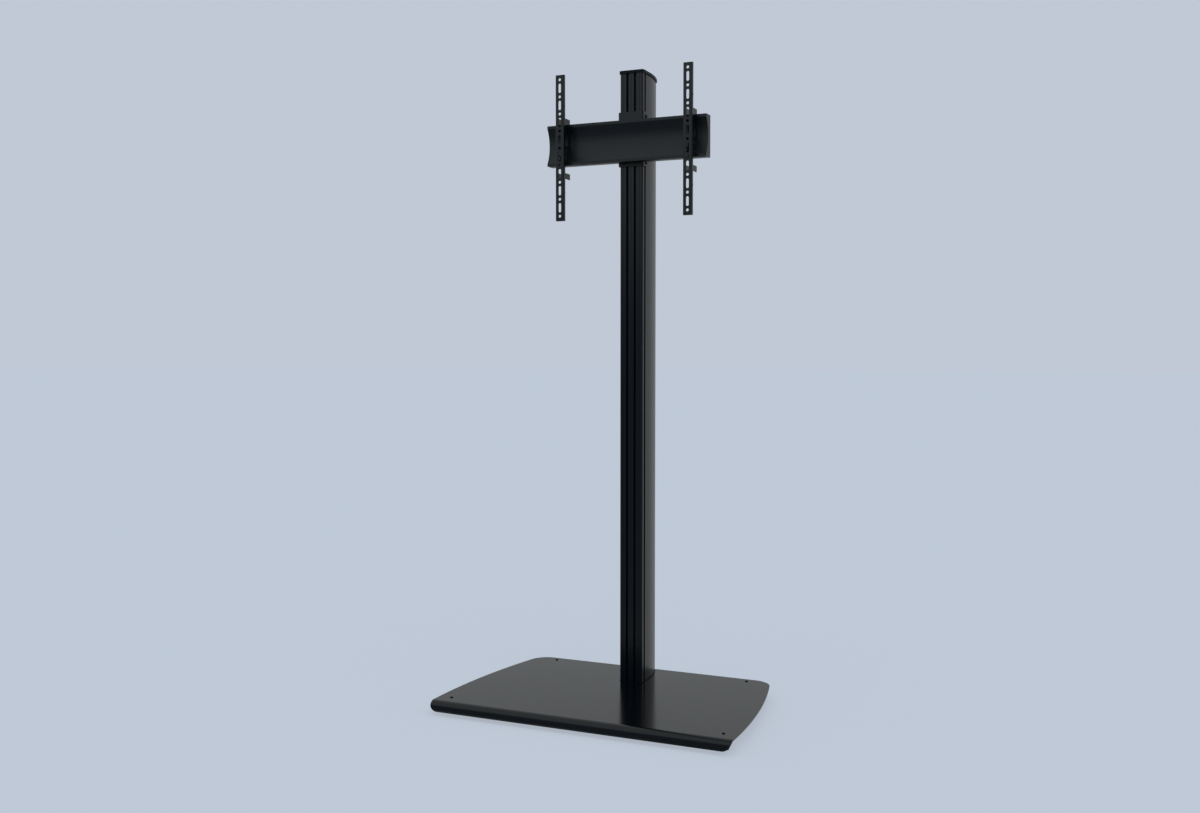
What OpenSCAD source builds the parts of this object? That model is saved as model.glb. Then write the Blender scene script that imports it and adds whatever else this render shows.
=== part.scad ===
/* Floor stand for a flat screen: a bowed steel base, a slotted aluminium column and a concave
   rail that carries two rocking arms. Millimetres, +Z up, +Y to the rear, origin on the floor
   under the middle of the base. */

/* [Base plate] */
// widest width of the base plate
base_w = 894; // [700:1:1000]
// depth of the base plate, front lip to rear edge
base_d = 588; // [450:1:650]
// height of the plate's top above the floor
plate_top = 40; // [36:0.5:60]
// thickness of the base sheet
plate_t = 3; // [2:0.5:5]
// radius of each bowed side
side_r = 2100; // [1200:1:3000]
// distance from the front face to the widest line
side_apex = 73; // [0:1:200]
// radius of the two rear corners
rear_corner_r = 58; // [10:1:80]
// outer radius of the front bend
bend_r = 26; // [8:1:26]
// height of the front lip, bend included
lip_h = 27; // [26.5:0.5:36]
// radius of the lip's lower corners
lip_corner_r = 25; // [5:1:26]

/* [Underframe and feet] */
// front feet, distance in from the base's widest line
foot_front_side = 39.5; // [30:0.5:120]
// front feet, distance behind the front face
foot_front_in = 61.1; // [35:0.1:90]
// rear feet, distance in from the base's widest line
foot_rear_side = 130.8; // [118:0.1:240]
// rear feet, distance from the rear edge
foot_rear_in = 23.6; // [16:0.1:60]
// diameter of a rubber foot
pad_d = 30; // [20:1:32]
// height of a rubber foot
pad_h = 9; // [6:0.5:14]
// taper taken off the foot's top radius
pad_taper = 2; // [0:0.5:4]
// height that a levelling stud stands above the plate
stud_up = 1.5; // [0:0.5:6]
// diameter of the levelling studs and the column bolts
stud_d = 8; // [6:1:10]
// diameter of the stud's collar
collar_d = 14; // [10:1:18]
// height of the stud's collar
collar_h = 4; // [2:0.5:6]
// diameter of the weld nut
weld_nut_d = 16; // [12:1:20]
// height of the weld nut
weld_nut_h = 11; // [6:0.5:12]
// width across the flats of the hex sockets
hex_key = 4; // [3:0.5:6]
// depth of the hex sockets
hex_deep = 4; // [2:0.5:6]
// width of a side rib
rib_w = 36; // [24:1:40]
// height of a side rib
rib_h = 22; // [12:1:24]
// sheet thickness of the ribs
rib_t = 2.5; // [2:0.5:4]
// rib past the front foot
rib_front = 20; // [15:1:24]
// rib past the rear foot
rib_rear = 10; // [8:1:12]
// depth of the cross beam, front to rear
beam_w = 150; // [120:1:160]
// thickness of the cross beam
beam_t = 4; // [3:0.5:6]

/* [Column] */
// width across the column's front
col_w = 72; // [60:0.5:90]
// depth of the column, front to rear
col_d = 150; // [120:1:154]
// height of the column
col_h = 1806; // [1200:1:2000]
// column's rear face, distance in front of the base's rear edge
col_rear_in = 19.5; // [8:0.5:80]
// radius of the bowed sides
bow_r = 325; // [200:1:500]
// distance from the front to the column's widest line
bow_y = 48; // [40:1:60]
// depth of the flat part of each side
flat_y = 36; // [32:1:40]
// wall thickness
wall = 3; // [2:0.25:4]
// thickness of the inner webs
web = 2.5; // [2:0.25:4]
// distance from the front to the web in front of the cable duct
duct_y = 58; // [50:1:70]
// radius of the front edges
edge_r = 5.5; // [1:0.25:6]
// width of the two front slots
slot_w = 7.5; // [5:0.5:9]
// distance between the two front slots
slot_pitch = 24; // [20:0.5:30]
// width of the slot in each side
side_slot_w = 10; // [7:0.5:10]
// distance from the front to the side slots
side_slot_y = 19.5; // [17:0.5:22]
// how much wider than its mouth a slot is inside
slot_under = 3; // [2:0.25:4]
// depth of a slot behind its lips
slot_deep = 5.5; // [4:0.5:7]
// radius of the slots' mouths
slot_round = 1; // [0.4:0.1:1.5]
// bevel at the bottom of a slot
slot_bevel = 2.5; // [1:0.25:3]
// width and depth of the scribed lines on the front
scribe = 0.6; // [0.3:0.1:1]
// outer radius of a screw port
port_r = 6.3; // [5.5:0.1:8]
// depth that the column bolts reach into the ports
bolt_reach = 30; // [15:1:50]
// diameter of the bolt heads
bolt_head_d = 13; // [10:0.5:15]
// height of the bolt heads
bolt_head_h = 8; // [4:0.5:9]

/* [Cable cover] */
// width of the rear cable slot
cable_slot_w = 24; // [15:0.5:26]
// width of the cover strip
cover_w = 29; // [26:0.5:31]
// thickness of the cover strip
cover_t = 2; // [1.5:0.25:3]
// thickness of the cover's clip legs
leg_t = 1.4; // [1:0.1:2]
// length of the clip legs
leg_l = 7; // [5:0.5:9]
// barb on each leg
barb = 1.1; // [0.6:0.1:1.5]
// open length below the cover
cable_low = 80; // [40:1:200]
// open length above the cover
cable_high = 120; // [40:1:300]

/* [Cap] */
// thickness of the column's cap
cap_t = 8.5; // [4:0.5:10]
// overhang of the cap
cap_over = 3; // [1:0.5:5]
// depth of the cap's plug
plug_h = 12; // [6:1:20]
// clearance of the cap's plug
plug_gap = 0.4; // [0.2:0.1:1]

/* [Collar bracket] */
// rail's middle, below the column's top
rail_drop = 202.5; // [110:0.5:1200]
// bracket above the rail's middle
collar_up = 89.5; // [70:0.5:110]
// bracket below the rail's middle
collar_down = 69; // [62:0.5:90]
// thickness of the bracket's front
collar_front_t = 5; // [4:0.5:8]
// thickness of the bracket's sides
collar_side_t = 3.5; // [2:0.5:5]
// reach of the bracket's sides behind the column's front
collar_reach = 27; // [24:0.5:34]
// running gap between bracket and column
run_gap = 0.3; // [0.2:0.05:0.6]
// upper clamp screws, above the rail's middle
clamp_up = 77; // [66:0.5:84]
// lower clamp screws, below the rail's middle
clamp_down = 58.1; // [50:0.1:60]
// diameter of the clamp screws
clamp_d = 6; // [5:0.5:8]
// diameter of the clamp screws' heads
clamp_head_d = 10.5; // [8:0.5:12]
// height of the clamp screws' heads
clamp_head_h = 3; // [2:0.25:4]
// length of a slot nut
slot_nut_l = 20; // [12:1:30]
// thickness of a slot nut's body
slot_nut_t = 4; // [3:0.25:5]

/* [Rail] */
// length of the rail with its end caps
rail_l = 501; // [300:1:700]
// shift of the rail along its length, from the column's middle
rail_shift = -4.5; // [-6:0.5:6]
// height of the rail
rail_h = 119.5; // [100:0.5:150]
// distance from the column's front to the rail's front edges
rail_out = 40; // [36:0.5:60]
// depth of the hollow face
recess = 15; // [10:0.5:18]
// height of the flat strip along each edge
strip_h = 8; // [6:0.5:12]
// skin thickness of the rail
rail_t = 3; // [2:0.25:4]
// thickness of the hook lip
lip_t = 2.5; // [2:0.25:3]
// width of the groove behind the hook lip
groove_w = 9; // [7:0.5:12]
// depth of the groove behind the hook lip
groove_deep = 5; // [4:0.5:7]
// rear grooves, distance from the rail's middle
nut_groove_z = 30; // [24:1:36]
// width of the rear grooves' mouths
nut_mouth = 8.4; // [7:0.2:10]
// height inside the rear grooves
nut_wide = 14; // [12:0.5:18]
// depth inside the rear grooves
nut_deep = 6; // [5:0.5:8]
// thickness of a rail end cap
end_t = 4; // [2:0.5:6]
// depth of an end cap's plug
end_plug = 8; // [4:1:12]
// length of the nut bars
nut_bar_l = 80; // [60:1:120]
// rail screws, distance from the centre line
rail_screw_x = 24; // [16:1:27]
// diameter of the rail screws
rail_screw_d = 6; // [5:0.5:8]
// diameter of the countersunk heads
sunk_d = 12; // [9:0.5:14]

/* [Arms] */
// half the distance between the two arms
arm_x = 200; // [100:1:230]
// arms' middle, below the rail's middle
arm_drop = 12.7; // [0:0.1:20]
// width of an arm
arm_w = 27; // [20:0.5:30]
// depth of an arm's flanges
arm_d = 10; // [9:0.5:14]
// length of an arm
arm_l = 428; // [420:1:460]
// thickness of the arm's sheet
arm_t = 2; // [1.5:0.25:3]
// outer radius of the arm's bends
arm_r = 2; // [1:0.25:3]
// distance from the rail's front edges to the arm's face
arm_out = 29.6; // [24:0.1:36]
// distance between an arm's holes
hole_pitch = 50; // [50:1:50]
// number of holes each side of the middle one
holes_half = 4; // [4:1:4]
// diameter of the holes and width of the slots
hole_d = 8.4; // [6.5:0.1:9]
// length of the slots
slot_l = 27.5; // [20:0.5:30]

/* [Hook cheeks] */
// thickness of a cheek
cheek_t = 2; // [1.5:0.25:3]
// rear edge of the upper hook's tip, behind the rail's front edges
hook_y = 7.7; // [7:0.1:8]
// rear ends of the hooks, behind the rail's front edges
hook_reach = 17.5; // [12:0.5:18.5]
// top of the upper hook, above the rail's middle
hook_top = 76; // [68:0.5:90]
// depth of the upper hook's tip into the groove
tip_deep = 3; // [2:0.1:3]
// thickness of the upper hook's tip
tip_t = 2.6; // [2:0.1:3]
// bottom of the lower hook, below the rail's middle
low_hook = 101.5; // [94:0.5:104]
// radius under the lower hook
low_hook_r = 7; // [3:0.5:9]
// corner radius of the hooks
hook_r = 1.5; // [0.5:0.5:3]
// gap between the lip and the cheek in front of it
lip_gap = 2; // [1:0.25:4]
// largest tilt of the arms in degrees
tilt_max = 13; // [5:1:13]
// clearance left at the two tilt stops
stop_gap = 0.2; // [0.1:0.05:0.5]
// distance from an arm's middle to its upper peg
peg_up = 123.5; // [115:0.5:130]
// distance from an arm's middle to its lower peg
peg_down = 130; // [115:0.5:135]
// diameter of a peg
peg_d = 3.5; // [2:0.25:4]
// diameter of a peg's head
peg_head_d = 5.2; // [4:0.2:6]
// height of a peg's head
peg_head_h = 1.6; // [1:0.2:3]
// length of a peg inside the arm
peg_l = 7.7; // [6:0.1:12]

/* [Glides] */
// thickness of a glide's runners
runner_t = 1.2; // [1:0.1:2]
// width of a glide's runners
runner_w = 4; // [3:0.25:5]
// running gap on each side of the runners
glide_gap = 0.3; // [0.2:0.05:0.5]
// thickness of a glide's clips
clip_t = 1.2; // [1:0.1:1.6]
// height of the cross bars at the runners' ends
bar_h = 5; // [3:0.5:8]
// half width of a glide's clips
clip_half = 7; // [4:0.5:7.5]

/* [Hidden] */
$fn = 48;
round_fn = 96;
bow_fn = 720;
over = 1;
thread_gap = 0.05;
hole_gap = 0.5;
port_bite = 1;
cheek_rim = 9;
window_front = -20;
window_top = 38;
window_edge = 4;
window_mid = 14;
window_low = 32;
window_end = 45;
two = 2;
half = 1 / two;

front_y = -base_d * half;
rear_y = base_d * half;
plate_low = plate_top - plate_t;
col_y = rear_y - col_rear_in - col_d;
mid_z = plate_top + col_h - rail_drop;
hole_r = hole_d * half;
stud_r = stud_d * half;
tap_r = stud_r + thread_gap;
clear_r = stud_r + hole_gap;
stud_top = plate_top + stud_up;

foot_front_y = front_y + foot_front_in;
foot_rear_y = rear_y - foot_rear_in;
foot_front_x = base_w * half - foot_front_side;
foot_rear_x = base_w * half - foot_rear_side;
foot_dx = foot_front_x - foot_rear_x;
foot_dy = foot_rear_y - foot_front_y;
foot_run = sqrt(foot_dx * foot_dx + foot_dy * foot_dy);
foot_turn = atan2(foot_dx, foot_dy);

side_cx = base_w * half - side_r;
side_cy = front_y + side_apex;
corner_y = rear_y - rear_corner_r;
corner_x = side_cx + sqrt(pow(side_r - rear_corner_r, two) - pow(corner_y - side_cy, two));
corner_a = atan2(corner_y - side_cy, corner_x - side_cx);
front_half_w = side_cx + sqrt(pow(side_r, two) - pow(side_apex, two));

bow_cx = col_w * half - bow_r;
port_front_x = col_w * half - wall - port_r + port_bite;
port_front_y = 41;
port_rear_y = 118;
port_rear_x = bow_cx + sqrt(pow(bow_r - wall, two) - pow(port_rear_y - bow_y, two)) - port_r + port_bite;
slot_floor_y = wall + slot_deep;
side_floor = col_w * half - wall - slot_deep;
side_cell = side_slot_w * half + slot_under + web;

collar_half = col_w * half + run_gap + collar_side_t;
rail_depth = rail_out - collar_front_t - run_gap;
rail_half = rail_h * half;
chord = rail_half - strip_h;
rail_r = (chord * chord + recess * recess) / (two * recess);
axis_y = recess - rail_r;
cheek_r = rail_r - glide_gap - runner_t - glide_gap;
arm_half = arm_w * half;
cheek_front = -arm_out + arm_t;
flange_rear = -arm_out + arm_d;
hook_low_z = (-(rail_half + stop_gap) - (hook_reach - axis_y) * sin(tilt_max)) / cos(tilt_max);
groove_floor = rail_half - groove_deep;

/* colours, as the photograph shows them */
module satin() { color([0.09, 0.095, 0.10]) children(); }
module dark_metal() { color([0.16, 0.17, 0.18]) children(); }
module zinc() { color([0.62, 0.63, 0.65]) children(); }
module plastic() { color([0.03, 0.03, 0.035]) children(); }
module rubber() { color([0.05, 0.05, 0.05]) children(); }

/* extrudes a (Y, Z) outline along X, centred */
module along_x(len) {
  rotate([90, 0, 90])
    linear_extrude(height = len, center = true)
      children();
}

/* extrudes an (X, Z) outline along Y, centred */
module along_y(len) {
  rotate([90, 0, 0])
    linear_extrude(height = len, center = true)
      children();
}

/* a shaft along X from x0 to x1 */
module shaft_x(x0, x1, r) {
  translate([x0, 0, 0])
    rotate([0, 90, 0])
      cylinder(h = x1 - x0, r = r);
}

/* a shaft along Y from y0 to y1 */
module shaft_y(y0, y1, r) {
  translate([0, y1, 0])
    rotate([90, 0, 0])
      cylinder(h = y1 - y0, r = r);
}

module hex(across) { circle(r = across / sqrt(3), $fn = 6); }

module both_sides() {
  children();
  mirror([1, 0, 0]) children();
}

/* puts a child at each of the four feet */
module at_feet() {
  both_sides() {
    translate([foot_front_x, foot_front_y, 0]) children();
    translate([foot_rear_x, foot_rear_y, 0]) children();
  }
}

/* puts a child at each of the four column bolts */
module at_bolts() {
  both_sides() {
    translate([port_front_x, col_y + port_front_y, 0]) children();
    translate([port_rear_x, col_y + port_rear_y, 0]) children();
  }
}

/* plan of the base plate: two large discs cross, and the rear corners are rounded */
module corner_cut() {
  reach = two * rear_corner_r;
  translate([corner_x, corner_y])
    polygon([[0, 0], [0, reach], [reach, reach], [reach * cos(corner_a), reach * sin(corner_a)]]);
}

module base_plan() {
  difference() {
    intersection() {
      translate([side_cx, side_cy]) circle(r = side_r, $fn = bow_fn);
      translate([-side_cx, side_cy]) circle(r = side_r, $fn = bow_fn);
      translate([-base_w * half, front_y - over]) square([base_w, base_d + over]);
    }
    corner_cut();
    mirror([1, 0]) corner_cut();
  }
  for (s = [-1, 1])
    translate([s * corner_x, corner_y])
      circle(r = rear_corner_r, $fn = round_fn);
}

/* the sheet's section: flat top, round bend, upright lip */
module plate_profile() {
  translate([front_y + bend_r, plate_low])
    square([base_d - bend_r + over, plate_t]);
  translate([front_y, plate_top - lip_h])
    square([plate_t, lip_h - bend_r]);
  translate([front_y + bend_r, plate_top - bend_r])
    intersection() {
      difference() {
        circle(r = bend_r, $fn = round_fn);
        circle(r = bend_r - plate_t, $fn = round_fn);
      }
      translate([-bend_r - over, 0]) square([bend_r + over, bend_r + over]);
    }
}

module lip_corner() {
  translate([front_half_w - lip_corner_r, front_y, plate_top - lip_h + lip_corner_r])
    along_y(two * bend_r)
      difference() {
        translate([0, -lip_corner_r - over])
          square(lip_corner_r + over);
        circle(r = lip_corner_r, $fn = round_fn);
      }
}

module base_plate() {
  satin()
    difference() {
      intersection() {
        along_x(base_w + over) plate_profile();
        linear_extrude(height = plate_top + over) base_plan();
      }
      both_sides() lip_corner();
      at_feet() plate_hole();
      at_bolts() plate_hole();
    }
}

module plate_hole() {
  translate([0, 0, plate_low - beam_t - over])
    cylinder(h = plate_t + beam_t + two * over, r = clear_r);
}

/* a space in the rib's own frame: across, along from the front foot, height */
module at_rib(side) {
  mirror([side < 0 ? 1 : 0, 0, 0])
    translate([foot_front_x, foot_front_y, 0])
      rotate([0, 0, foot_turn])
        children();
}

module rib(side) {
  dark_metal()
    at_rib(side)
      difference() {
        translate([-rib_w * half, -rib_front, plate_low - rib_h])
          cube([rib_w, rib_front + foot_run + rib_rear, rib_h]);
        translate([-rib_w * half + rib_t, -rib_front - over, plate_low - rib_h - over])
          cube([rib_w - two * rib_t, rib_front + foot_run + rib_rear + two * over, rib_h - rib_t + over]);
        plate_hole();
        translate([0, foot_run, 0]) plate_hole();
      }
}

/* a channel under the column, cut at both ends to meet the ribs */
module cross_beam() {
  beam_y = col_y + col_d - beam_w;
  dark_metal()
    difference() {
      translate([-base_w * half, beam_y, plate_low - rib_h])
        cube([base_w, beam_w, rib_h]);
      translate([-base_w * half - over, beam_y + beam_t, plate_low - rib_h - over])
        cube([base_w + two * over, beam_w - two * beam_t, rib_h - beam_t + over]);
      for (side = [-1, 1])
        at_rib(side)
          translate([-rib_w * half, 0, plate_low - rib_h - over])
            cube([base_w, two * foot_run, rib_h + two * over]);
      at_bolts() plate_hole();
    }
}

/* puts a child at one foot: side is -1 or 1, back is 0 or 1 */
module at_foot(side, back) {
  translate([side * (back ? foot_rear_x : foot_front_x), back ? foot_rear_y : foot_front_y, 0])
    children();
}

module foot_pad(side, back) {
  rubber()
    at_foot(side, back)
      cylinder(h = pad_h, r1 = pad_d * half, r2 = pad_d * half - pad_taper);
}

module foot_stud(side, back) {
  zinc()
    at_foot(side, back)
      difference() {
        union() {
          translate([0, 0, pad_h]) cylinder(h = collar_h, d = collar_d);
          translate([0, 0, pad_h]) cylinder(h = stud_top - pad_h, r = stud_r);
        }
        translate([0, 0, stud_top - hex_deep])
          linear_extrude(height = hex_deep + over)
            hex(hex_key);
      }
}

module weld_nut(side, back) {
  zinc()
    at_foot(side, back)
      translate([0, 0, plate_low - rib_t - weld_nut_h])
        difference() {
          cylinder(h = weld_nut_h, d = weld_nut_d);
          translate([0, 0, -over]) cylinder(h = weld_nut_h + two * over, r = tap_r);
        }
}

/* outline of the column, or of its cap when grown */
module col_outline(grow = 0) {
  round_r = edge_r + grow;
  wide = col_w + two * grow;
  difference() {
    intersection() {
      translate([-wide * half, -grow]) square([wide, col_d + two * grow]);
      union() {
        translate([-wide * half, -grow]) square([wide, flat_y + grow]);
        intersection() {
          translate([bow_cx, bow_y]) circle(r = bow_r + grow, $fn = bow_fn);
          translate([-bow_cx, bow_y]) circle(r = bow_r + grow, $fn = bow_fn);
        }
      }
    }
    for (s = [-1, 1])
      translate([s * (wide * half - round_r), -grow + round_r])
        corner_waste(s, round_r);
  }
}

/* what a rounded front corner loses */
module corner_waste(s, r) {
  mirror([s < 0 ? 1 : 0, 0])
    difference() {
      translate([0, -r - over]) square(r + over);
      circle(r = r, $fn = round_fn);
    }
}

/* a T-shaped slot, mouth at y = 0, running inwards along +y */
module t_slot(mouth) {
  inner = mouth * half + slot_under;
  floor_y = wall + slot_deep;
  polygon([[-mouth * half, -over], [mouth * half, -over], [mouth * half, wall], [inner, wall],
    [inner, floor_y - slot_bevel], [inner - slot_bevel, floor_y], [slot_bevel - inner, floor_y],
    [-inner, floor_y - slot_bevel], [-inner, wall], [-mouth * half, wall]]);
  for (s = [-1, 1])
    translate([s * (mouth * half + slot_round), slot_round])
      corner_waste(-s, slot_round);
}

module scribe_line() {
  rotate(45) square(scribe, center = true);
}

/* the hollow parts of the column's section, apart from its slots */
module col_chambers() {
  cell_x = side_floor - web;
  cell_end = side_slot_y + side_cell;
  inner_x = col_w * half - wall;
  translate([-cell_x, slot_floor_y + web])
    square([two * cell_x, cell_end - slot_floor_y - web]);
  translate([-inner_x, cell_end])
    square([two * inner_x, duct_y - web - cell_end]);
  intersection() {
    translate([bow_cx, bow_y]) circle(r = bow_r - wall, $fn = bow_fn);
    translate([-bow_cx, bow_y]) circle(r = bow_r - wall, $fn = bow_fn);
    translate([-inner_x, duct_y]) square([two * inner_x, col_d - wall - duct_y]);
  }
  translate([-cable_slot_w * half, col_d - wall - over])
    square([cable_slot_w, wall + two * over]);
}

module col_ports() {
  for (s = [-1, 1]) {
    translate([s * port_front_x, port_front_y]) children();
    translate([s * port_rear_x, port_rear_y]) children();
  }
}

module col_section() {
  strip_mid = (slot_pitch * half + slot_w * half + col_w * half) * half;
  difference() {
    union() {
      difference() {
        col_outline();
        col_chambers();
      }
      col_ports() circle(r = port_r);
    }
    col_ports() circle(r = tap_r);
    for (s = [-1, 1]) {
      translate([s * slot_pitch * half, 0]) t_slot(slot_w);
      translate([s * col_w * half, side_slot_y]) rotate(s * 90) t_slot(side_slot_w);
      translate([s * strip_mid, 0]) scribe_line();
    }
    scribe_line();
  }
}

module column() {
  satin()
    translate([0, col_y, plate_top])
      linear_extrude(height = col_h)
        col_section();
}

module cover_section() {
  edge_x = cover_w * half;
  leg_x = cable_slot_w * half - run_gap;
  in_x = leg_x - leg_t;
  mid_x = leg_x - leg_t * half;
  end_y = col_d - leg_l;
  barb_y = col_d - wall - run_gap;
  polygon([[edge_x, col_d + cover_t], [edge_x, col_d], [leg_x, col_d], [leg_x, barb_y],
    [leg_x + barb, barb_y], [mid_x, end_y], [in_x, end_y], [in_x, col_d],
    [-in_x, col_d], [-in_x, end_y], [-mid_x, end_y], [-leg_x - barb, barb_y],
    [-leg_x, barb_y], [-leg_x, col_d], [-edge_x, col_d], [-edge_x, col_d + cover_t]]);
}

module cable_cover() {
  satin()
    translate([0, col_y, plate_top + cable_low])
      linear_extrude(height = col_h - cable_low - cable_high)
        cover_section();
}

module column_cap() {
  plug_x = port_front_x - port_r - plug_gap;
  cell_end = side_slot_y + side_cell;
  plastic()
    translate([0, col_y, plate_top + col_h]) {
      linear_extrude(height = cap_t) col_outline(cap_over);
      translate([-plug_x, cell_end + plug_gap, -plug_h])
        cube([two * plug_x, duct_y - web - cell_end - two * plug_gap, plug_h + cap_t * half]);
    }
}

module column_bolt(side, back) {
  bolt_z = plate_low - beam_t;
  zinc()
    translate([side * (back ? port_rear_x : port_front_x), col_y + (back ? port_rear_y : port_front_y), bolt_z])
      difference() {
        union() {
          translate([0, 0, -bolt_head_h]) cylinder(h = bolt_head_h, d = bolt_head_d);
          cylinder(h = beam_t + plate_t + bolt_reach, r = stud_r);
        }
        translate([0, 0, -bolt_head_h - over])
          linear_extrude(height = hex_deep + over)
            hex(hex_key + hex_key * half);
      }
}

/* the bracket that grips the column and carries the rail */
module collar_plan() {
  front_reach = collar_front_t + run_gap;
  difference() {
    translate([-collar_half, -front_reach])
      square([two * collar_half, front_reach + collar_reach]);
    translate([-col_w * half - run_gap, -run_gap])
      square([col_w + two * run_gap, collar_reach + run_gap + over]);
    for (s = [-1, 1])
      translate([s * (collar_half - edge_r), -front_reach + edge_r])
        corner_waste(s, edge_r);
  }
}

module at_clamp(side, up) {
  translate([0, col_y + side_slot_y, mid_z + (up ? clamp_up : -clamp_down)])
    mirror([side < 0 ? 1 : 0, 0, 0])
      children();
}

module at_rail_screw(side, up) {
  translate([side * rail_screw_x, col_y - run_gap, mid_z + (up ? nut_groove_z : -nut_groove_z)])
    children();
}

module collar_bracket() {
  screw_r = rail_screw_d * half;
  satin()
    difference() {
      translate([0, col_y, mid_z - collar_down])
        linear_extrude(height = collar_up + collar_down)
          collar_plan();
      for (side = [-1, 1], up = [0, 1]) {
        at_clamp(side, up)
          shaft_x(col_w * half, collar_half + over, clamp_d * half + run_gap);
        at_rail_screw(side, up) {
          shaft_y(-collar_front_t - over, over, screw_r + run_gap);
          rotate([90, 0, 0])
            cylinder(h = sunk_d * half - screw_r, r1 = sunk_d * half, r2 = screw_r);
        }
      }
    }
}

/* countersunk, put in from behind before the bracket goes on the column */
module rail_screw(side, up) {
  screw_r = rail_screw_d * half;
  head = sunk_d * half - screw_r;
  reach = collar_front_t + rail_t + nut_deep - rail_t * half;
  zinc()
    at_rail_screw(side, up)
      difference() {
        union() {
          shaft_y(-reach, -thread_gap, screw_r);
          translate([0, -thread_gap, 0])
            rotate([90, 0, 0])
              cylinder(h = head - thread_gap, r1 = sunk_d * half - two * thread_gap, r2 = screw_r);
        }
        translate([0, over, 0])
          rotate([90, 0, 0])
            linear_extrude(height = over + head * half)
              hex(hex_key);
      }
}

module clamp_screw(side, up) {
  screw_r = clamp_d * half;
  zinc()
    at_clamp(side, up)
      difference() {
        union() {
          shaft_x(side_floor + run_gap, collar_half, screw_r);
          shaft_x(collar_half, collar_half + clamp_head_h, clamp_head_d * half);
        }
        translate([collar_half + clamp_head_h * half, 0, 0])
          rotate([0, 90, 0])
            linear_extrude(height = clamp_head_h)
              hex(hex_key);
      }
}

module slot_nut(side, up) {
  inner = side_slot_w + two * slot_under - two * run_gap;
  body_x = col_w * half - wall - run_gap;
  zinc()
    at_clamp(side, up)
      difference() {
        union() {
          translate([body_x, 0, -slot_nut_l * half])
            linear_extrude(height = slot_nut_l)
              polygon([[0, inner * half], [slot_bevel - slot_nut_t, inner * half],
                [-slot_nut_t, inner * half - slot_bevel], [-slot_nut_t, slot_bevel - inner * half],
                [slot_bevel - slot_nut_t, -inner * half], [0, -inner * half]]);
          translate([body_x - slot_nut_t, -side_slot_w * half + run_gap, -slot_nut_l * half])
            cube([slot_nut_t + wall, side_slot_w - two * run_gap, slot_nut_l]);
        }
        shaft_x(0, collar_half, clamp_d * half + thread_gap);
      }
}

/* the rail's frame: y = 0 at its front edges, z = 0 at its middle */
module at_rail() {
  translate([0, col_y - rail_out, mid_z]) children();
}

module rail_outline() {
  difference() {
    translate([0, -rail_half]) square([rail_depth, rail_h]);
    translate([axis_y, 0]) circle(r = rail_r, $fn = bow_fn * half);
  }
}

module rail_section() {
  back = rail_depth - rail_t;
  boss = nut_wide * half + web;
  groove_end = lip_t + groove_w;
  difference() {
    rail_outline();
    for (s = [-1, 1])
      mirror([0, s < 0 ? 1 : 0]) {
        translate([lip_t, groove_floor]) square([groove_w, groove_deep + over]);
        translate([back - over, nut_groove_z - nut_mouth * half]) square([rail_t + two * over, nut_mouth]);
        translate([back - nut_deep, nut_groove_z - nut_wide * half]) square([nut_deep, nut_wide]);
      }
    difference() {
      union() {
        translate([0, -groove_floor + rail_t]) square([back, two * (groove_floor - rail_t)]);
        translate([groove_end + rail_t, -rail_half + rail_t])
          square([back - groove_end - rail_t, rail_h - two * rail_t]);
      }
      translate([axis_y, 0]) circle(r = rail_r + rail_t, $fn = bow_fn * half);
      for (s = [-1, 1])
        translate([back - nut_deep - web, s * nut_groove_z - boss])
          square([nut_deep + web + over, two * boss]);
    }
  }
}

module rail() {
  satin()
    at_rail()
      translate([rail_shift, 0, 0])
        along_x(rail_l - two * end_t)
          rail_section();
}

module rail_end(side) {
  plug_y = recess + rail_t + plug_gap;
  plug_z = nut_groove_z - nut_wide * half - web - plug_gap;
  satin()
    at_rail()
      translate([rail_shift + side * (rail_l - end_t) * half, 0, 0]) {
        along_x(end_t) rail_outline();
        translate([-side * end_plug * half, 0, 0])
          along_x(end_plug)
            translate([plug_y, -plug_z])
              square([rail_depth - rail_t - plug_gap - plug_y, two * plug_z]);
      }
}

module nut_bar(up) {
  bar_h = nut_wide - two * run_gap;
  bar_t = nut_deep - rail_t * half;
  zinc()
    difference() {
      at_rail()
        translate([0, rail_depth - rail_t - bar_t * half, up ? nut_groove_z : -nut_groove_z])
          cube([nut_bar_l, bar_t, bar_h], center = true);
      for (side = [-1, 1])
        at_rail_screw(side, up)
          shaft_y(-rail_out, 0, rail_screw_d * half + thread_gap);
    }
}

/* an arm's frame: as the rail's, moved to the arm's middle plane */
module at_arm(side) {
  translate([side * arm_x, 0, 0]) at_rail() children();
}

/* a glide: two curved runners under the cheeks, tied by bars and clipped over both lips */
module runner_ring() {
  translate([axis_y, 0])
    difference() {
      circle(r = rail_r - glide_gap, $fn = bow_fn * half);
      circle(r = cheek_r + glide_gap, $fn = bow_fn * half);
    }
}

module clip_section() {
  top = rail_half + glide_gap + clip_t;
  rear = lip_t + glide_gap + clip_t;
  translate([-glide_gap - clip_t, chord - bar_h * half]) square([clip_t, top - chord + bar_h * half]);
  translate([-glide_gap - clip_t, rail_half + glide_gap]) square([rear + glide_gap + clip_t, clip_t]);
  translate([lip_t + glide_gap, groove_floor + clip_t]) square([clip_t, top - groove_floor - clip_t]);
}

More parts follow.
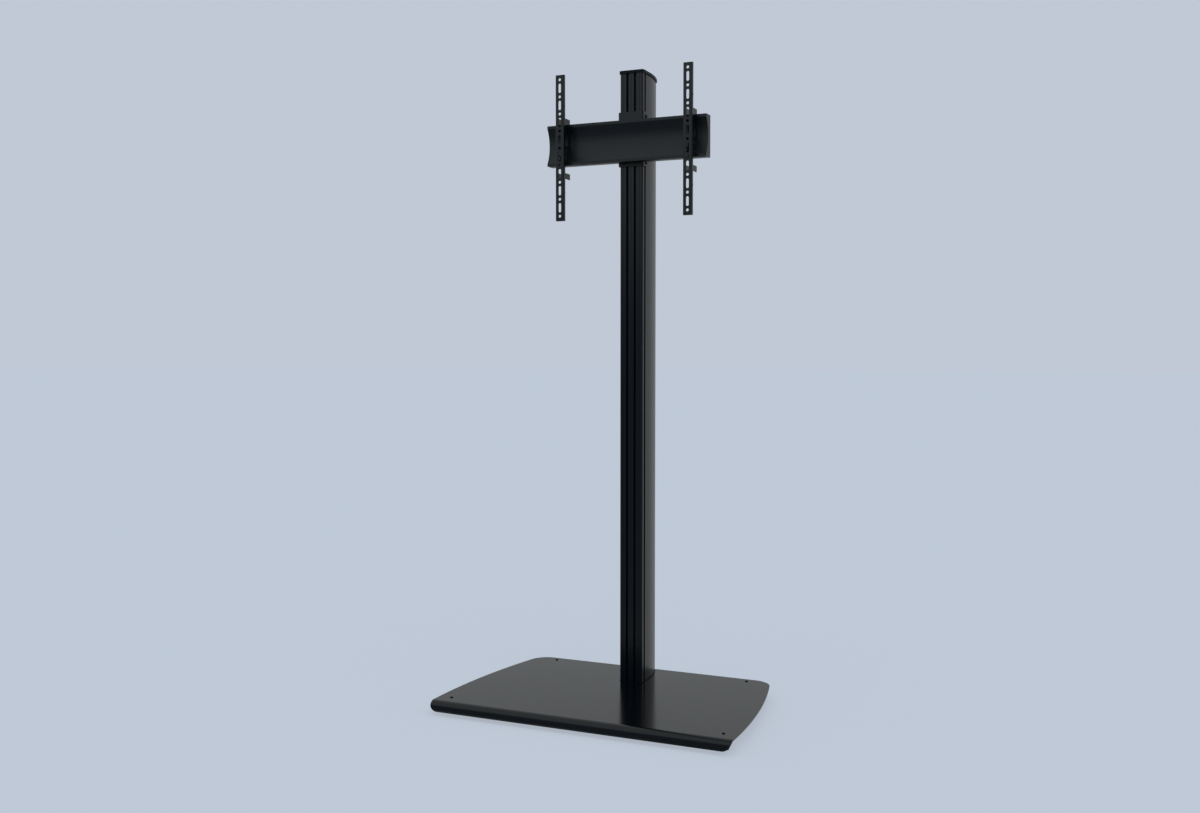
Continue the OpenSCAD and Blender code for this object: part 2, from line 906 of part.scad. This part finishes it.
module glide(side) {
  cheek_mid = arm_half - arm_t - cheek_t * half;
  end_z = chord - glide_gap;
  plastic()
    at_arm(side) {
      for (s = [-1, 1])
        translate([s * cheek_mid, 0, 0])
          along_x(runner_w)
            intersection() {
              runner_ring();
              translate([axis_y * half, -end_z]) square([-axis_y + recess, two * end_z]);
            }
      for (s = [0, 1])
        mirror([0, 0, s]) {
          along_x(two * cheek_mid + runner_w)
            intersection() {
              runner_ring();
              translate([axis_y * half, end_z - bar_h]) square([-axis_y + recess, bar_h]);
            }
          along_x(two * clip_half) clip_section();
        }
    }
}

/* an arm's channel: a pressed pan with holes and slots down its face */
module pan_round(len, r) {
  difference() {
    translate([-arm_out, -len * half]) square([arm_d, len]);
    for (s = [-1, 1])
      mirror([0, s < 0 ? 1 : 0])
        translate([-arm_out + r, len * half - r])
          difference() {
            translate([-r - over, 0]) square(r + over);
            circle(r = r, $fn = round_fn);
          }
  }
}

module slot_hole() {
  square([hole_d, slot_l - hole_d], center = true);
  for (s = [-1, 1])
    translate([0, s * (slot_l - hole_d) * half]) circle(r = hole_r);
}

module channel(side) {
  face_y = -arm_out + arm_t * half;
  satin()
    at_arm(side)
      difference() {
        translate([0, 0, -arm_drop])
          difference() {
            intersection() {
              along_x(arm_w) pan_round(arm_l, arm_r);
              rotate([0, 90, 0]) along_x(arm_l) pan_round(arm_w, arm_r);
            }
            translate([-arm_half + arm_t, cheek_front, -arm_l * half + arm_t])
              cube([arm_w - two * arm_t, arm_d, arm_l - two * arm_t]);
            for (i = [-holes_half:holes_half])
              translate([0, face_y, i * hole_pitch])
                along_y(two * arm_t) circle(r = hole_r);
            for (i = [-holes_half:holes_half - 1])
              translate([0, face_y, (i + half) * hole_pitch])
                along_y(two * arm_t) slot_hole();
          }
        for (up = [0, 1])
          at_peg(up) shaft_x(0, arm_w, peg_d * half + thread_gap);
      }
}

module at_peg(up) {
  translate([0, -arm_out + arm_d * half, (up ? peg_up : -peg_down) - arm_drop]) children();
}

module peg(side, up) {
  zinc()
    at_arm(side)
      at_peg(up) {
        shaft_x(arm_half - arm_t - peg_l, arm_half, peg_d * half);
        shaft_x(arm_half, arm_half + peg_head_h, peg_head_d * half);
      }
}

/* a cheek: a round rocker that rides in the rail, with a hook over it and a stop under it */
module cheek_windows() {
  rim = cheek_r - cheek_rim;
  intersection() {
    translate([axis_y, 0]) circle(r = rim, $fn = bow_fn * half);
    union() {
      polygon([[window_front, -window_edge], [recess, -window_edge], [recess, window_top],
        [-window_edge * two, window_top]]);
      translate([window_front, -window_low]) square([rail_out, window_low - window_mid]);
      translate([window_front, -window_end]) square([rail_out, window_end - window_low - web]);
    }
  }
}

module soft_corner(y, z, sy, sz) {
  translate([y, z])
    mirror([sy < 0 ? 1 : 0, 0])
      mirror([0, sz < 0 ? 1 : 0])
        translate([-hook_r, -hook_r])
          difference() {
            square(hook_r + over);
            circle(r = hook_r);
          }
}

module cheek_plan() {
  back = flange_rear - cheek_front;
  reach = hook_reach - cheek_front;
  low = -low_hook;
  neck_low = chord - strip_h * half;
  difference() {
    union() {
      intersection() {
        translate([axis_y, 0]) circle(r = cheek_r, $fn = bow_fn * half);
        translate([cheek_front, -cheek_r]) square([rail_out + recess, cheek_r + rail_half]);
      }
      translate([cheek_front, low - low_hook_r]) square([back, hook_top - low + low_hook_r]);
      translate([cheek_front, neck_low]) square([-lip_gap - cheek_front, hook_top - neck_low]);
      translate([cheek_front, rail_half + stop_gap]) square([reach, hook_top - rail_half - stop_gap]);
      translate([hook_y - tip_t, rail_half - tip_deep]) square([tip_t, tip_deep + two * stop_gap + over]);
      translate([cheek_front, low]) square([reach, hook_low_z - low]);
      translate([flange_rear, low - low_hook_r])
        difference() {
          square(low_hook_r);
          translate([low_hook_r, 0]) circle(r = low_hook_r);
        }
    }
    translate([cheek_front - over, -cheek_r - low_hook]) square([reach + low_hook, cheek_r - low_hook_r]);
    translate([hook_y - two * tip_t, low - over]) square([tip_t, tip_deep + over]);
    soft_corner(hook_reach, hook_top, 1, 1);
    soft_corner(hook_reach, hook_low_z, 1, 1);
    cheek_windows();
  }
}

module cheek(side, turn) {
  satin()
    at_arm(side)
      translate([turn * (arm_half - arm_t - cheek_t * half), 0, 0])
        along_x(cheek_t)
          cheek_plan();
}

base_plate();
cross_beam();
rib(-1);  // rib_left
rib(1);  // rib_right
foot_stud(-1, 0);  // foot_stud_front_left
foot_stud(1, 0);  // foot_stud_front_right
foot_stud(-1, 1);  // foot_stud_rear_left
foot_stud(1, 1);  // foot_stud_rear_right
foot_pad(-1, 0);  // foot_pad_front_left
foot_pad(1, 0);  // foot_pad_front_right
foot_pad(-1, 1);  // foot_pad_rear_left
foot_pad(1, 1);  // foot_pad_rear_right
weld_nut(-1, 0);  // weld_nut_front_left
weld_nut(1, 0);  // weld_nut_front_right
weld_nut(-1, 1);  // weld_nut_rear_left
weld_nut(1, 1);  // weld_nut_rear_right
column();
cable_cover();
column_cap();
column_bolt(-1, 0);  // column_bolt_front_left
column_bolt(1, 0);  // column_bolt_front_right
column_bolt(-1, 1);  // column_bolt_rear_left
column_bolt(1, 1);  // column_bolt_rear_right
collar_bracket();
rail();
rail_end(-1);  // rail_end_left
rail_end(1);  // rail_end_right
nut_bar(1);  // nut_bar_upper
nut_bar(0);  // nut_bar_lower
rail_screw(-1, 1);  // rail_screw_upper_left
rail_screw(1, 1);  // rail_screw_upper_right
rail_screw(-1, 0);  // rail_screw_lower_left
rail_screw(1, 0);  // rail_screw_lower_right
clamp_screw(-1, 1);  // clamp_screw_upper_left
clamp_screw(1, 1);  // clamp_screw_upper_right
clamp_screw(-1, 0);  // clamp_screw_lower_left
clamp_screw(1, 0);  // clamp_screw_lower_right
slot_nut(-1, 1);  // slot_nut_upper_left
slot_nut(1, 1);  // slot_nut_upper_right
slot_nut(-1, 0);  // slot_nut_lower_left
slot_nut(1, 0);  // slot_nut_lower_right
glide(-1);  // glide_left
glide(1);  // glide_right
channel(-1);  // channel_left
channel(1);  // channel_right
cheek(-1, -1);  // cheek_left_outer
cheek(-1, 1);  // cheek_left_inner
cheek(1, -1);  // cheek_right_inner
cheek(1, 1);  // cheek_right_outer
peg(-1, 1);  // peg_left_upper
peg(-1, 0);  // peg_left_lower
peg(1, 1);  // peg_right_upper
peg(1, 0);  // peg_right_lower
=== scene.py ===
# %% [markdown]
# # A floor stand for a flat screen
# The stand is a bowed steel plate on four rubber feet, a tall slotted aluminium column and a
# concave rail with two rocking arms. The solid model already has every piece in its place, so
# this lesson is about finishes: satin powder coat, anodised extrusions, blackened and zinc-plated
# screws, plastic and rubber. One thin dark bead is modelled round the column's foot as painted
# shade, standing for the shadow line at the joint, and a studio is set up around the stand. The
# lesson starts by loading the packed model, whose units are metres.

# %% Load the solid model
import math
import bpy
import bmesh
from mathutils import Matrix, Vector


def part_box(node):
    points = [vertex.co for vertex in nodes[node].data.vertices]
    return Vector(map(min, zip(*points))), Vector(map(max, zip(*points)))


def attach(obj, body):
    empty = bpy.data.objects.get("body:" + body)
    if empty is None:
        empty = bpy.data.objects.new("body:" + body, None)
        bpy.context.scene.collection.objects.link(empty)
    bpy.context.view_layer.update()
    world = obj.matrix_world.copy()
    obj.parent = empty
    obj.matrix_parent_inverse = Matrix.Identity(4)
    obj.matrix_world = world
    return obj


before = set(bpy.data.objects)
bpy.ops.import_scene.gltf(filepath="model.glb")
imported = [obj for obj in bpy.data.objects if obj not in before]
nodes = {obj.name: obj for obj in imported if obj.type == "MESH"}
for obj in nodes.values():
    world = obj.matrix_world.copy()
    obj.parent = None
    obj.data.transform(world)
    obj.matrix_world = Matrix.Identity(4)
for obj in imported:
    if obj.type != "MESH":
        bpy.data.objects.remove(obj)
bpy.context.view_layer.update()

# %% [markdown]
# ## The camera
# The picture was taken from the front right, a little above the middle of the column's height,
# with a moderate wide angle. A camera can be placed by eye. Here its focal length and its place
# were worked out from lengths that are known on the stand.

# %% Camera
PICTURE_WIDTH = 1200
FOCAL_PIXELS = 1211.5
SENSOR_MM = 36.0
CAMERA_PLACE = (1.3658, -3.2008, 1.0310)
CAMERA_YAW = 0.4153
CAMERA_PITCH = 0.0455
FAR_CLIP = 200.0

camera_data = bpy.data.cameras.new("camera")
camera_data.sensor_fit = "HORIZONTAL"
camera_data.sensor_width = SENSOR_MM
camera_data.lens = SENSOR_MM * FOCAL_PIXELS / PICTURE_WIDTH
camera_data.clip_end = FAR_CLIP
camera = bpy.data.objects.new("camera", camera_data)
camera.location = CAMERA_PLACE
camera.rotation_euler = (math.pi / 2 - CAMERA_PITCH, 0.0, CAMERA_YAW)
bpy.context.scene.collection.objects.link(camera)
bpy.context.scene.camera = camera
print("lens", round(camera_data.lens, 2), "mm")

# %% [markdown]
# ## Shader maths as Python
# A finish is easier to read as a sum than as a web of boxes. The class below wraps one output of
# a node. Adding, subtracting or multiplying wires makes the Math node that does it. Every other
# node comes from one method, so that settings and sockets are always given in the same way.

# %% A wire, and the one method that adds nodes
def add_node(tree, kind, settings=None, values=None, out=0):
    """Adds a node: settings first, then the value or the link of each named socket."""
    node = tree.nodes.new(kind)
    for key, value in (settings or {}).items():
        setattr(node, key, value)
    for key, value in (values or {}).items():
        if isinstance(value, Wire):
            tree.links.new(value.socket, node.inputs[key])
        else:
            node.inputs[key].default_value = value
    return Wire(node.outputs[out]) if node.outputs else None


class Wire:
    """One node output, with arithmetic."""

    def __init__(self, socket):
        self.socket = socket
        self.tree = socket.id_data

    def maths(self, operation, first, second):
        """The Math node behind every operator below."""
        return add_node(self.tree, "ShaderNodeMath", {"operation": operation},
                        {0: first, 1: second})

    def __add__(self, other):
        return self.maths("ADD", self, other)

    def __radd__(self, other):
        return self.maths("ADD", other, self)

    def __sub__(self, other):
        return self.maths("SUBTRACT", self, other)

    def __rsub__(self, other):
        return self.maths("SUBTRACT", other, self)

    def __mul__(self, other):
        return self.maths("MULTIPLY", self, other)

    def __rmul__(self, other):
        return self.maths("MULTIPLY", other, self)

    def swing(self, amount):
        """Centres noise on zero and scales it, so that it can be added to a mean value."""
        return amount * (self - 0.5)

    def step(self, low, high):
        """0 under low, 1 over high, and smooth between."""
        ends = {"Value": self, "From Min": low, "From Max": high, "To Min": 0.0, "To Max": 1.0}
        return add_node(self.tree, "ShaderNodeMapRange",
                        {"interpolation_type": "SMOOTHSTEP"}, ends)

    def stretched(self, scale):
        """Coordinates with each axis multiplied by its own number."""
        return add_node(self.tree, "ShaderNodeVectorMath", {"operation": "MULTIPLY"},
                        {0: self, 1: scale})

    def noise(self, scale, detail=2.0, roughness=0.5):
        """Soft random blotches, as many per metre as the scale says."""
        return add_node(self.tree, "ShaderNodeTexNoise", {},
                        {"Vector": self, "Scale": scale, "Detail": detail, "Roughness": roughness})

    def part(self, index):
        """One number out of a vector."""
        return add_node(self.tree, "ShaderNodeSeparateXYZ", {}, {0: self}, index)


# A Mix node has number, vector and colour sockets of the same name, so these go by number.
MIX_FACTOR, MIX_LOW, MIX_HIGH, MIX_RESULT = 0, 6, 7, 2


def blend_colour(mask, low, high):
    """Goes from the low colour to the high one as the mask goes from 0 to 1."""
    return add_node(mask.tree, "ShaderNodeMix", {"data_type": "RGBA"},
                    {MIX_FACTOR: mask, MIX_LOW: low, MIX_HIGH: high}, MIX_RESULT)


print("a wire can", [name for name in vars(Wire) if not name.startswith("_")])

# %% [markdown]
# ## One function for every finish
# All finishes share the same skeleton: a colour, a roughness that is never even, and a bump. The
# constants are set on the shader's own sockets. Only what changes over the surface is linked.
# The stand is nearly black, with a touch of blue, and the bare screws are a touch cool too.

# %% Finish
BLUE_BLACK = (0.0012, 0.0032, 0.0060)
COOL_GREY = (1.0, 1.03, 1.06)


def black(level):
    """A very dark blue-black. At level 1 it is the paint's own colour under plain light."""
    return (*(level * channel for channel in BLUE_BLACK), 1.0)


def grey(level):
    """A near-neutral grey, a touch cool."""
    return (*(level * channel for channel in COOL_GREY), 1.0)


def new_finish(name, metallic=0.0, ior=1.5):
    """Returns a material, its shader and the object coordinates, in metres."""
    material = bpy.data.materials.new(name)
    material.use_nodes = True
    tree = material.node_tree
    shader = tree.nodes["Principled BSDF"]
    shader.inputs["Metallic"].default_value = metallic
    shader.inputs["IOR"].default_value = ior
    return material, shader, add_node(tree, "ShaderNodeTexCoord", out="Object")


def wire_up(shader, colour, roughness, height, bump_depth):
    """Links the colour, the roughness and, through a Bump node, the height."""
    tree = shader.id_data
    bump = add_node(tree, "ShaderNodeBump", {},
                    {"Strength": 1.0, "Distance": bump_depth, "Height": height})
    for wire, socket in ((colour, "Base Color"), (roughness, "Roughness"), (bump, "Normal")):
        tree.links.new(wire.socket, shader.inputs[socket])


def lay_on(material, *names):
    """Gives CAD nodes a finish."""
    for name in names:
        slots = nodes[name].data.materials
        slots.clear()
        slots.append(material)
    print(material.name, "on", len(names), "pieces")


print("paint", [round(channel, 4) for channel in black(1.0)[:3]])

# %% [markdown]
# ## Satin powder coat on the base plate
# Powder coat is a dark plastic skin melted over steel. Up close it has a faint orange peel, and
# from a low angle it mirrors the room softly, which is where nearly all its brightness comes from.
# A flat dark colour would look like felt, so the peel is a shallow bump made of fine noise, a
# slower cloud keeps the roughness from being even, and a few pale flecks stand for dust in it.

# %% Powder coat
CLOUD_SCALE = 7.0
CLOUD_SHARE = 0.3
FLECK_SCALE = 2600.0
FLECK_EDGES = (0.74, 0.8)


def powder_coat(name, rough, peel_scale, peel_depth, specks, darkest, palest):
    """Melted powder: a fine peel over a slow cloud, with a few pale specks."""
    material, shader, place = new_finish(name)
    peel = place.noise(peel_scale, detail=3.0, roughness=0.55)
    cloud = place.noise(CLOUD_SCALE, detail=4.0, roughness=0.6)
    roughness = rough + cloud.swing(0.04) + peel.swing(0.02)
    fleck = place.noise(FLECK_SCALE, detail=0.0).step(*FLECK_EDGES) * specks
    tint = (cloud * CLOUD_SHARE + fleck).step(0.0, 1.0)
    colour = blend_colour(tint, black(darkest), black(palest))
    wire_up(shader, colour, roughness, peel, peel_depth)
    return material


base_paint = powder_coat("satin_powder_coat", rough=0.15, peel_scale=700.0, peel_depth=0.000003,
                         specks=0.5, darkest=0.3, palest=1.0)
arm_paint = powder_coat("arm_powder_coat", rough=0.28, peel_scale=1500.0, peel_depth=0.000002,
                        specks=0.3, darkest=0.4, palest=1.4)
frame_paint = powder_coat("frame_paint", rough=0.5, peel_scale=900.0, peel_depth=0.00001,
                          specks=0.0, darkest=0.8, palest=2.5)
lay_on(base_paint, "base_plate")
lay_on(arm_paint, "collar_bracket", "channel_left", "channel_right", "cheek_left_outer",
       "cheek_left_inner", "cheek_right_inner", "cheek_right_outer")
lay_on(frame_paint, "cross_beam", "rib_left", "rib_right")


# %% [markdown]
# ## Anodised extrusions
# The column and the rail are pulled through a die, which leaves faint lines along their length.
# The noise is squeezed along that direction, upright on the column and level on the rail. The
# rail is a little rougher, so that the arms are not mirrored sharply in its hollow.

# %% Anodised aluminium
LEVEL_AXIS, UPRIGHT_AXIS = 0, 2
DULL_PATCHES = 9.0
LINES_ACROSS, LINES_ALONG = 1400.0, 4.0
BANDS_ACROSS, BANDS_ALONG = 160.0, 1.5
DIE_DEPTH = 0.000002


def drawn_noise(place, axis, across, along):
    """Noise with many cells per metre across the pull of the die and few along it."""
    scale = [across] * 3
    scale[axis] = along
    return place.stretched(tuple(scale)).noise(1.0)


def anodised(name, axis, rough):
    material, shader, place = new_finish(name)
    lines = drawn_noise(place, axis, LINES_ACROSS, LINES_ALONG)
    bands = drawn_noise(place, axis, BANDS_ACROSS, BANDS_ALONG)
    cloud = place.noise(DULL_PATCHES, detail=3.0)
    roughness = rough + bands.swing(0.05) + lines.swing(0.04) + cloud.swing(0.04)
    colour = blend_colour(bands, black(0.4), black(1.0))
    wire_up(shader, colour, roughness, lines + bands, DIE_DEPTH)
    return material


column_finish = anodised("anodised_upright", UPRIGHT_AXIS, rough=0.26)
rail_finish = anodised("anodised_level", LEVEL_AXIS, rough=0.34)
lay_on(column_finish, "column", "cable_cover")
lay_on(rail_finish, "rail", "rail_end_left", "rail_end_right")


# %% [markdown]
# ## Screws, plastic and rubber
# The small pieces are dark too. The bolts, the nuts, the pegs and the rail's screws are
# zinc-plated, with a brushed look. The clamp screws and the feet's studs are blackened, so they
# take the same fine-grained finish as the moulded plastic of the glides and the cap. The rubber
# feet are duller than anything else. A lower index of refraction makes the cap, the studs and the
# dark bead of painted shade at the column's foot darker still, because less of the room is
# mirrored in them.

# %% Small finishes
ZINC_CLOUD = 140.0
MOULD_CLOUD = 40.0


def zinc_plate(name, rough, grain_scale, depth):
    material, shader, place = new_finish(name, metallic=1.0)
    grain = place.noise(grain_scale, detail=3.0)
    colour = blend_colour(place.noise(ZINC_CLOUD), grey(0.10), grey(0.22))
    wire_up(shader, colour, rough + grain.swing(0.14), grain, depth)
    return material


def moulded(name, rough, grain_scale, depth, ior=1.5):
    material, shader, place = new_finish(name, ior=ior)
    grain = place.noise(grain_scale, detail=3.0, roughness=0.6)
    colour = blend_colour(place.noise(MOULD_CLOUD), black(0.8), black(1.6))
    wire_up(shader, colour, rough + grain.swing(0.08), grain, depth)
    return material


def over(kinds, spots):
    """The names of pieces that repeat at the same spots."""
    return [f"{kind}_{spot}" for kind in kinds for spot in spots]


zinc = zinc_plate("dark_zinc", rough=0.34, grain_scale=1800.0, depth=0.00001)
glide_plastic = moulded("glide_plastic", rough=0.4, grain_scale=2200.0, depth=0.000006)
cap_plastic = moulded("cap_plastic", rough=0.45, grain_scale=1800.0, depth=0.000005, ior=1.25)
pad_rubber = moulded("pad_rubber", rough=0.75, grain_scale=1200.0, depth=0.00002)
stud_black = moulded("stud_black", rough=0.6, grain_scale=2600.0, depth=0.000004, ior=1.12)
screw_black = moulded("screw_black", rough=0.35, grain_scale=2600.0, depth=0.000004)

# %% Lay on the small finishes
sides = ("left", "right")
feet = over(("front", "rear"), sides)
screws = over(("upper", "lower"), sides)
arm_ends = over(sides, ("upper", "lower"))
lay_on(zinc, "nut_bar_upper", "nut_bar_lower", *over(("weld_nut", "column_bolt"), feet),
       *over(("rail_screw", "slot_nut"), screws), *over(("peg",), arm_ends))
lay_on(glide_plastic, "glide_left", "glide_right")
lay_on(cap_plastic, "column_cap")
lay_on(stud_black, *over(("foot_stud",), feet))
lay_on(screw_black, *over(("clamp_screw",), screws))
lay_on(pad_rubber, *over(("foot_pad",), feet))


# %% [markdown]
# ## A dark bead of painted shade round the column's foot
# Where the column meets the plate a fine dark line of shadow runs round the joint. A thin dark
# bead, dull like rubber, is put there to paint that shadow line. It could be a curve with a bevel,
# but a mesh drawn with operators keeps its corners exact. One vertex is drawn out along half of
# the column's outline: straight over the front and along the flat side, then spun over the bowed
# side.
# The half is mirrored, the front corners are rounded, and the line is raised into a low wall and
# given its thickness.

# %% The shadow bead's measures
BEAD_HIGH = 0.0018
BEAD_THICK = 0.0008
CORNER_ROUND = 0.0055
CORNER_STEPS = 6
BOW_RADIUS = 0.325
BOW_START = 0.048
BOW_STEPS = 24
MERGE_WITHIN = 0.00001

column_low, column_high = (Vector(c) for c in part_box("column"))
half_wide = column_high.x
bow_y = column_low.y + BOW_START
bow_turn = math.asin((column_high.y - bow_y) / BOW_RADIUS)
print("half width", round(half_wide * 1000, 2), "mm, bow", round(math.degrees(bow_turn), 2), "deg")


# %% Half of the shadow bead's outline
def only_verts(elements):
    """Picks the vertices out of what an operator gives back."""
    return [e for e in elements if isinstance(e, bmesh.types.BMVert)]


def draw_on(point, x, y):
    """Draws the line on from its last point, level with the column's foot."""
    point = bmesh.ops.extrude_vert_indiv(shape, verts=[point])["verts"][0]
    point.co = (x, y, column_low.z)
    return point


shape = bmesh.new()
front_middle = shape.verts.new((0.0, column_low.y, column_low.z))
front_corner = draw_on(front_middle, half_wide, column_low.y)
bow_foot = draw_on(front_corner, half_wide, bow_y)
bow_centre = (half_wide - BOW_RADIUS, bow_y, column_low.z)
spun = bmesh.ops.spin(shape, geom=[bow_foot], cent=bow_centre, axis=(0.0, 0.0, 1.0),
                      angle=bow_turn, steps=BOW_STEPS)
draw_on(only_verts(spun["geom_last"])[0], 0.0, column_high.y)
print("half outline", len(shape.verts), "points")

# %% The whole outline
# The front corners lie on the front's line and away from its middle.
FRONT_BAND = 0.0001
MIDDLE_BAND = 0.01

bmesh.ops.mirror(shape, geom=shape.verts[:] + shape.edges[:], axis="X", merge_dist=MERGE_WITHIN)
bmesh.ops.remove_doubles(shape, verts=shape.verts[:], dist=MERGE_WITHIN)
corners = [v for v in shape.verts
           if v.co.y < column_low.y + FRONT_BAND and abs(v.co.x) > MIDDLE_BAND]
bmesh.ops.bevel(shape, geom=corners, offset=CORNER_ROUND, offset_type="OFFSET",
                affect="VERTICES", segments=CORNER_STEPS, profile=0.5, material=-1)
print("outline", len(shape.verts), "points,", len(corners), "corners rounded")

# %% The shadow bead's wall
wall = bmesh.ops.extrude_edge_only(shape, edges=shape.edges[:])["geom"]
for vert in only_verts(wall):
    vert.co.z += BEAD_HIGH
bmesh.ops.recalc_face_normals(shape, faces=shape.faces[:])
bmesh.ops.solidify(shape, geom=shape.faces[:], thickness=-BEAD_THICK)
bmesh.ops.recalc_face_normals(shape, faces=shape.faces[:])
shadow_bead_mesh = bpy.data.meshes.new("foot_shadow_bead")
shape.to_mesh(shadow_bead_mesh)
shape.free()
print("wall", len(shadow_bead_mesh.polygons), "faces")

# %% Shadow bead at the column's foot
# Painted shade: a dark, dull bead that stands for the shadow line where the column meets the
# plate.
shadow_bead_black = moulded("shadow_bead_black", rough=0.6, grain_scale=1500.0, depth=0.00001, ior=1.25)
shadow_bead_mesh.materials.append(shadow_bead_black)
shadow_bead = bpy.data.objects.new("foot_shadow_bead", shadow_bead_mesh)
bpy.context.scene.collection.objects.link(shadow_bead)
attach(shadow_bead, "stand")
print("foot_shadow_bead", [round(length * 1000, 2) for length in shadow_bead.dimensions], "mm")


# %% [markdown]
# ## A plain pale studio
# Black satin metal shows what stands around it. The camera sees a room of one pale cool grey.
# Reflections see it a little brighter in front and a little darker behind, as in a real studio
# with its lamps on the camera's side.

# %% Room
ROOM = (0.527, 0.584, 0.665, 1.0)
ROOM_FRONT = (0.55, 0.62, 0.64, 1.0)
ROOM_BEHIND = (0.42, 0.44, 0.45, 1.0)

world = bpy.data.worlds.new("room")
bpy.context.scene.world = world
world.use_nodes = True
room_tree = world.node_tree
room_tree.nodes.clear()
toward = add_node(room_tree, "ShaderNodeTexCoord", out="Generated")
around = blend_colour(toward.part(1).step(-0.5, 0.5), ROOM_FRONT, ROOM_BEHIND)
mirrored_ray = add_node(room_tree, "ShaderNodeLightPath", out="Is Glossy Ray")
sky = add_node(room_tree, "ShaderNodeBackground", {},
               {"Color": blend_colour(mirrored_ray, ROOM, around), "Strength": 1.0})
add_node(room_tree, "ShaderNodeOutputWorld", {}, {"Surface": sky})
print("room", ROOM[:3], "mirrored from", ROOM_FRONT[:3], "to", ROOM_BEHIND[:3])

# %% [markdown]
# ## The floor
# The floor has the room's colour and keeps a faint shadow. A plain matt floor would come out
# darker than the room behind it and show a horizon, so most of it glows with the room's own
# colour and only the rest is lit.

# %% Floor
FAR = 60.0
FLOOR_GLOW = 0.75


def stage_sheet(name, material, corners):
    """A flat sheet of the studio, from its front corners to its back ones, left before right."""
    mesh = bpy.data.meshes.new(name)
    shape = bmesh.new()
    bmesh.ops.create_grid(shape, x_segments=1, y_segments=1, size=1.0)
    for vert, corner in zip(sorted(shape.verts, key=lambda v: (v.co.y, v.co.x)), corners):
        vert.co = corner
    shape.to_mesh(mesh)
    shape.free()
    mesh.materials.append(material)
    sheet = bpy.data.objects.new(name, mesh)
    bpy.context.scene.collection.objects.link(sheet)
    return sheet


def stage_colour(name, colour, mirrored, glow_share, fade=None):
    """A matt colour. Part of it glows evenly for the camera, and reflections see the mirrored one.
    With a fade, the mirrored colour turns into the room's front colour between two heights."""
    material = bpy.data.materials.new(name)
    material.use_nodes = True
    tree = material.node_tree
    tree.nodes.clear()
    camera_ray = add_node(tree, "ShaderNodeLightPath", out="Is Camera Ray")
    glossy_ray = add_node(tree, "ShaderNodeLightPath", out="Is Glossy Ray")
    if fade:
        height = add_node(tree, "ShaderNodeTexCoord", out="Object").part(2)
        mirrored = blend_colour(height.step(*fade), mirrored, ROOM_FRONT)
    shown = blend_colour(glossy_ray, colour, mirrored)
    glow = add_node(tree, "ShaderNodeEmission", {}, {"Color": shown, "Strength": 1.0})
    matt = add_node(tree, "ShaderNodeBsdfDiffuse", {}, {"Color": colour})
    mix = add_node(tree, "ShaderNodeMixShader", {},
                   {0: camera_ray * glow_share + glossy_ray, 1: matt, 2: glow})
    add_node(tree, "ShaderNodeOutputMaterial", {}, {"Surface": mix})
    return material


floor = stage_sheet("floor", stage_colour("pale_floor", ROOM, ROOM_BEHIND, FLOOR_GLOW),
                    [(-FAR, -FAR, 0.0), (FAR, -FAR, 0.0), (-FAR, FAR, 0.0), (FAR, FAR, 0.0)])
print("floor", round(floor.dimensions.x), "m wide")

# %% [markdown]
# ## What only reflections see
# In the picture the column's face and the upper half of the rail's hollow fall off to near black,
# and thin dark lines run down the corners. Darker paint can't do that, because the fall-off is in
# what the paint mirrors. So a dark mat lies on the floor in front of the stand, a card stands at
# the mat's front edge, dark at its foot and as bright as the room at its top, and a dark wing
# runs back from the card on the right. The camera and the lamp pass through all three.

# %% Dark mat, card and wing
SHADE = (0.145, 0.18, 0.21, 1.0)
CARD_Y = -1.2
CARD_LEFT, CARD_RIGHT = (-5.5, CARD_Y), (3.0, CARD_Y)
CARD_FADE = (1.05, 2.0)
MAT_LIFT = 0.001
MAT_REAR_LEFT, MAT_REAR_RIGHT = (-0.75, -0.75), (0.5, -0.27)
WING_FRONT, WING_REAR = (0.9, CARD_Y), (2.6, -0.25)
WING_TOP = 3.0


def upright(start, end, top):
    """The corners of a sheet that stands on the floor between two places."""
    return [(*place, height) for height in (0.0, top) for place in (start, end)]


mat_corners = [(*place, MAT_LIFT)
               for place in (CARD_LEFT, CARD_RIGHT, MAT_REAR_LEFT, MAT_REAR_RIGHT)]
mat = stage_sheet("dark_mat", stage_colour("mat_grey", SHADE, SHADE, 0.0), mat_corners)
card = stage_sheet("dark_card", stage_colour("card_grey", SHADE, SHADE, 0.0, CARD_FADE),
                   upright(CARD_LEFT, CARD_RIGHT, CARD_FADE[1]))
wing = stage_sheet("dark_wing", stage_colour("wing_grey", SHADE, SHADE, 0.0),
                   upright(WING_FRONT, WING_REAR, WING_TOP))
for sheet in (mat, card, wing):
    sheet.visible_camera = False
    sheet.visible_diffuse = False
    sheet.visible_shadow = False
    print(sheet.name, [round(length, 2) for length in sheet.dimensions], "m")

# %% [markdown]
# ## One soft lamp
# An area lamp would light the top of a tall stand more than its foot, and would show in the paint
# as a bright spot. A sun lamp with a wide spread lights every height alike with soft edges, and
# it is kept out of reflections.

# %% Lamp
SUN_AIM = (-0.25, 0.45, -1.0)
SUN_STRENGTH = 1.5
SUN_SPREAD = math.radians(70.0)

lamp_data = bpy.data.lights.new("overhead", "SUN")
lamp_data.energy = SUN_STRENGTH
lamp_data.angle = SUN_SPREAD
lamp = bpy.data.objects.new("overhead", lamp_data)
lamp.rotation_euler = Vector(SUN_AIM).to_track_quat("-Z", "Y").to_euler()
lamp.visible_glossy = False
bpy.context.scene.collection.objects.link(lamp)
bpy.context.scene.view_settings.view_transform = "Standard"
print("lamp", lamp_data.energy, "spread", round(math.degrees(lamp_data.angle)), "deg")
